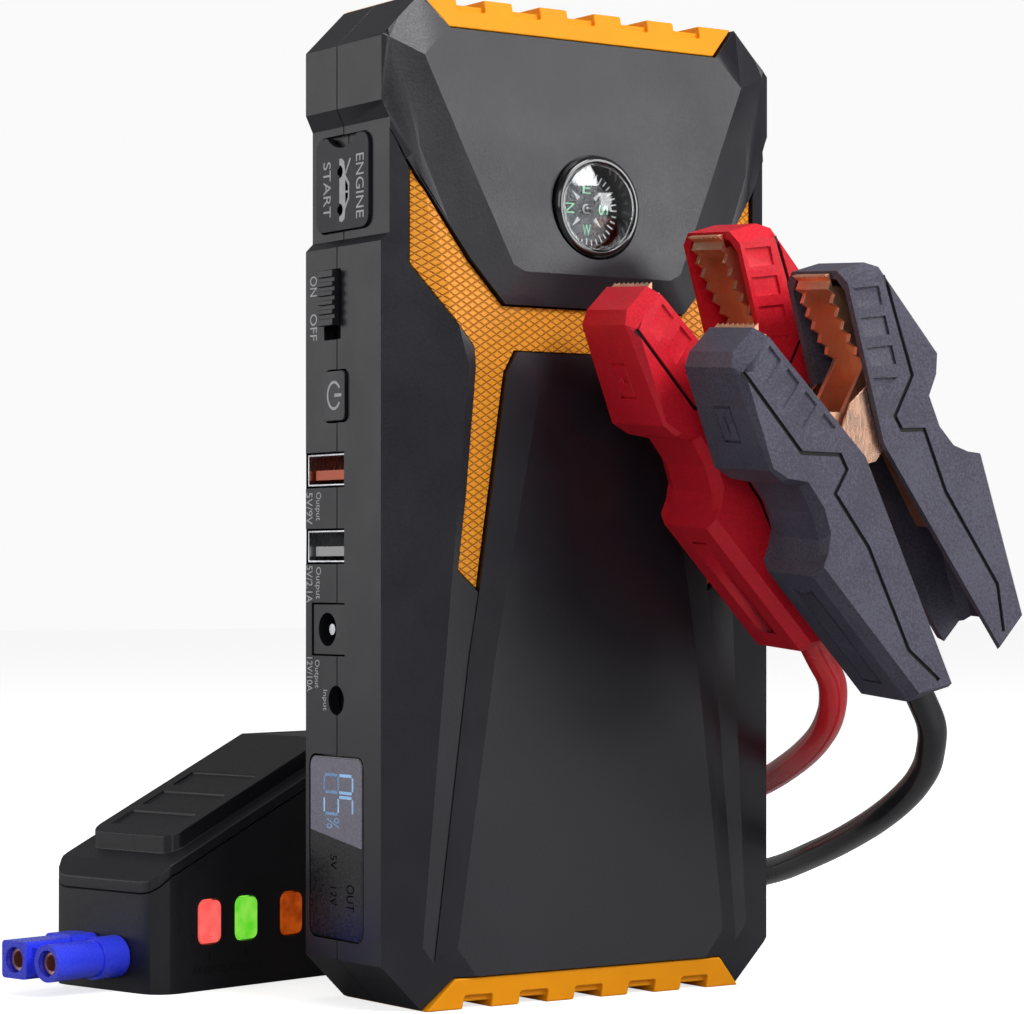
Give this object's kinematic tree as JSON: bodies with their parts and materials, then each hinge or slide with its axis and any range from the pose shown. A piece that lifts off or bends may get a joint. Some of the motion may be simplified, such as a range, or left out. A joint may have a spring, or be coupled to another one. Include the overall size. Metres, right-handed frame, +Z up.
{
  "type": "car jump starter pack with clamp leads",
  "caption": "Upright faceted jump starter pack with compass, side sockets and display, and a separate module with a plug, two leads and a pair of spring clamps.",
  "frame": {"origin": "middle of the pack's base, on the floor under its bottom bumper", "axes": "+X across the pack to the right as its front is faced, +Y towards its flat back (the front faces -Y), +Z up"},
  "size_m": [0.1649, 0.1591, 0.187],
  "materials": {
    "front_shell": "satin charcoal ABS, finely textured",
    "rear_shell": "satin charcoal ABS, finely textured",
    "front_inlay": "amber plastic with fine raised lozenges",
    "top_bumper": "amber hard rubber",
    "bottom_bumper": "amber hard rubber",
    "socket_cover": "soft black rubber",
    "jump_socket": "blue moulded plastic",
    "jump_contact_positive": "plated copper alloy",
    "jump_contact_negative": "plated copper alloy",
    "plug_contact_positive": "plated copper alloy",
    "plug_contact_negative": "plated copper alloy",
    "switch_knob": "ribbed satin plastic",
    "switch_body": "moulded plastic",
    "power_button": "satin plastic",
    "tact_switch": "moulded plastic",
    "quick_usb_shell": "pressed steel",
    "plain_usb_shell": "pressed steel",
    "quick_usb_tongue": "orange-red plastic",
    "plain_usb_tongue": "pale plastic",
    "dc_output_jack": "moulded plastic",
    "dc_output_pin": "plated pin",
    "dc_input_jack": "moulded plastic",
    "display_window": "clear and black printed plastic window",
    "display_module": "display cell and its frame",
    "compass_cup": "glossy black plastic",
    "compass_card": "printed dial",
    "compass_pivot": "steel",
    "compass_dome": "clear acrylic dome",
    "main_board": "green circuit board",
    "protection_board": "green circuit board",
    "module_board": "green circuit board",
    "battery_cell_1": "lithium polymer pouch cell; laminated foil",
    "battery_cell_2": "lithium polymer pouch cell; laminated foil",
    "battery_cell_3": "lithium polymer pouch cell; laminated foil",
    "cell_tray": "moulded plastic",
    "case_screw_1": "zinc-plated steel",
    "case_screw_2": "zinc-plated steel",
    "case_screw_3": "zinc-plated steel",
    "case_screw_4": "zinc-plated steel",
    "module_case": "black textured ABS",
    "module_cover": "black textured ABS",
    "module_light_red": "translucent red lens",
    "module_light_green": "translucent green lens",
    "module_light_orange": "translucent orange lens",
    "module_plug": "blue nylon",
    "red_cable": "red silicone insulation, glossy",
    "red_fixed_grip": "red grained ABS",
    "red_fixed_jaw": "copper-plated steel",
    "red_moving_grip": "red grained ABS",
    "red_moving_jaw": "copper-plated steel",
    "red_hinge_pin": "steel rivet",
    "red_spring": "spring steel",
    "black_cable": "black silicone insulation, glossy",
    "black_fixed_grip": "black grained ABS",
    "black_fixed_jaw": "copper-plated steel",
    "black_moving_grip": "black grained ABS",
    "black_moving_jaw": "copper-plated steel",
    "black_hinge_pin": "steel rivet",
    "black_spring": "spring steel"
  },
  "bodies": {
    "pack": {"front_shell": "front_shell", "rear_shell": "rear_shell", "front_inlay": "front_inlay", "top_bumper": "top_bumper", "bottom_bumper": "bottom_bumper", "jump_socket": "jump_socket", "jump_contact_positive": "jump_contact_positive", "jump_contact_negative": "jump_contact_negative", "switch_body": "switch_body", "tact_switch": "tact_switch", "quick_usb_shell": "quick_usb_shell", "plain_usb_shell": "plain_usb_shell", "quick_usb_tongue": "quick_usb_tongue", "plain_usb_tongue": "plain_usb_tongue", "dc_output_jack": "dc_output_jack", "dc_output_pin": "dc_output_pin", "dc_input_jack": "dc_input_jack", "display_window": "display_window", "display_module": "display_module", "compass_cup": "compass_cup", "compass_pivot": "compass_pivot", "compass_dome": "compass_dome", "main_board": "main_board", "protection_board": "protection_board", "battery_cell_1": "battery_cell_1", "battery_cell_2": "battery_cell_2", "battery_cell_3": "battery_cell_3", "cell_tray": "cell_tray", "case_screw_1": "case_screw_1", "case_screw_2": "case_screw_2", "case_screw_3": "case_screw_3", "case_screw_4": "case_screw_4"},
    "cover": {"socket_cover": "socket_cover"},
    "switch": {"switch_knob": "switch_knob"},
    "button": {"power_button": "power_button"},
    "compass": {"compass_card": "compass_card"},
    "lead_set": {"plug_contact_positive": "plug_contact_positive", "plug_contact_negative": "plug_contact_negative", "module_board": "module_board", "module_case": "module_case", "module_cover": "module_cover", "module_light_red": "module_light_red", "module_light_green": "module_light_green", "module_light_orange": "module_light_orange", "module_plug": "module_plug", "red_cable": "red_cable", "red_fixed_grip": "red_fixed_grip", "red_fixed_jaw": "red_fixed_jaw", "red_hinge_pin": "red_hinge_pin", "red_spring": "red_spring", "black_cable": "black_cable", "black_fixed_grip": "black_fixed_grip", "black_fixed_jaw": "black_fixed_jaw", "black_hinge_pin": "black_hinge_pin", "black_spring": "black_spring"},
    "red_half": {"red_moving_grip": "red_moving_grip", "red_moving_jaw": "red_moving_jaw"},
    "black_half": {"black_moving_grip": "black_moving_grip", "black_moving_jaw": "black_moving_jaw"}
  },
  "joints": [
    {"name": "cover_hinge", "type": "hinge", "parent": "pack", "child": "cover", "pos_m": [-0.0441, 0.00075, 0.14425], "axis": [0, -1, 0], "range_deg": [0, 110]},
    {"name": "switch_slide", "type": "slide", "parent": "pack", "child": "switch", "axis": [0, 0, -1], "range_m": [0, 0.0022]},
    {"name": "button_push", "type": "slide", "parent": "pack", "child": "button", "axis": [1, 0, 0], "range_m": [0, 0.0005], "stiffness_N_per_m": 800},
    {"name": "compass_turn", "type": "hinge", "parent": "pack", "child": "compass", "pos_m": [0, -0.0154, 0.1494], "axis": [0, -1, 0], "continuous": true},
    {"name": "lead_set_lift", "type": "slide", "parent": "pack", "child": "lead_set", "axis": [0, 0, 1], "range_m": [0, 0.2]},
    {"name": "red_clamp_hinge", "type": "hinge", "parent": "lead_set", "child": "red_half", "pos_m": [0.0163, -0.0392, 0.1146], "axis": [-0.1034, -0.9922, -0.0698], "range_deg": [-12, 33.4]},
    {"name": "black_clamp_hinge", "type": "hinge", "parent": "lead_set", "child": "black_half", "pos_m": [0.0213, -0.0636, 0.1058], "axis": [-0.1034, -0.9922, -0.0698], "range_deg": [-12, 33.4]}
  ]
}
